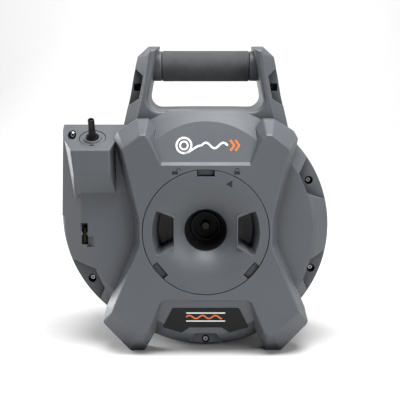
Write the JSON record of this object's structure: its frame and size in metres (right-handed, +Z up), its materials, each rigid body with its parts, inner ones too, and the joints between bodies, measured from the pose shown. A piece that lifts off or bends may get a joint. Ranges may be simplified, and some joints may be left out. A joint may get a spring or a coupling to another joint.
{
  "type": "drain snake machine",
  "caption": "Carried drum case for a drain cleaning cable, with a top grip, a drill-driven shaft behind a round hub cover, a tilted cable outlet and a clipped hex key.",
  "frame": {"origin": "under the middle of the object's outer box, on the surface that its feet stand on", "axes": "+Z up; -Y out of the front, where the hub cover is; +X to the right seen from the front"},
  "size_m": [0.3038, 0.166, 0.3454],
  "materials": {
    "housing": "fine moulded grain",
    "cover": "satin moulded",
    "black_plastic": "satin moulded",
    "black_rubber": "matt",
    "drum_plastic": "satin moulded",
    "label_black": "printed film",
    "print_white": "printed film",
    "print_orange": "printed film",
    "foam": "closed-cell foam",
    "sheath": "smooth extruded",
    "aluminium_tube": "drawn tube",
    "bright_steel": "zinc plated",
    "black_steel": "black oxide",
    "cable_steel": "stranded wire",
    "bearing_bronze": "sintered"
  },
  "bodies": {
    "root": {"front_shell": "housing", "rear_shell": "housing", "handle_tube": "aluminium_tube", "grip_sleeve": "foam", "nameplate": "label_black", "case_screws": "bright_steel", "handle_screws": "black_steel", "outlet_collar": "housing", "outlet_boot": "black_rubber", "outlet_guide": "black_plastic", "sheath_lead": "sheath", "front_bush": "black_plastic", "rear_bush": "black_plastic", "rear_cap": "black_plastic", "rear_cap_screws": "bright_steel"},
    "drum": {"drum_hub": "drum_plastic", "drum_front_plate": "drum_plastic", "drum_basket": "drum_plastic", "drum_spindle": "drum_plastic", "drum_screws": "bright_steel", "spindle_ring": "black_steel", "sheath_coil": "sheath", "sheath_inner_run": "sheath", "sheath_anchor": "bearing_bronze", "inner_guide_tube": "bright_steel", "drive_bearing_front": "bearing_bronze", "drive_bearing_rear": "bearing_bronze"},
    "drive": {"drive_shaft": "black_steel", "shaft_collar": "bright_steel", "coupling_sleeve": "bright_steel", "coupling_screws": "black_steel", "cable_core": "cable_steel"},
    "cable_tip": {"cable_end": "black_steel"},
    "cover": {"hub_cover": "cover", "drill_guide": "black_plastic", "guide_screws": "bright_steel"},
    "key": {"hex_key": "black_steel"}
  },
  "joints": [
    {"name": "drum_spin", "type": "hinge", "parent": "root", "child": "drum", "pos_m": [0.0119, 0, 0.142], "axis": [0, 1, 0], "continuous": true},
    {"name": "drive_spin", "type": "hinge", "parent": "drum", "child": "drive", "pos_m": [0.0119, -0.033, 0.142], "axis": [0, 1, 0], "continuous": true},
    {"name": "cable_end_spin", "type": "hinge", "parent": "root", "child": "cable_tip", "pos_m": [-0.1141, -0.064, 0.25511], "axis": [0, -0.5, 0.866], "continuous": true},
    {"name": "cover_turn", "type": "hinge", "parent": "root", "child": "cover", "pos_m": [0.0119, -0.078, 0.142], "axis": [0, -1, 0], "range_deg": [0, 53]},
    {"name": "key_slide", "type": "slide", "parent": "root", "child": "key", "axis": [0, -1, 0], "range_m": [0, 0.07]}
  ],
  "couplings": [
    {"joint": "cable_end_spin", "follows": "drive_spin", "ratio": 1}
  ]
}
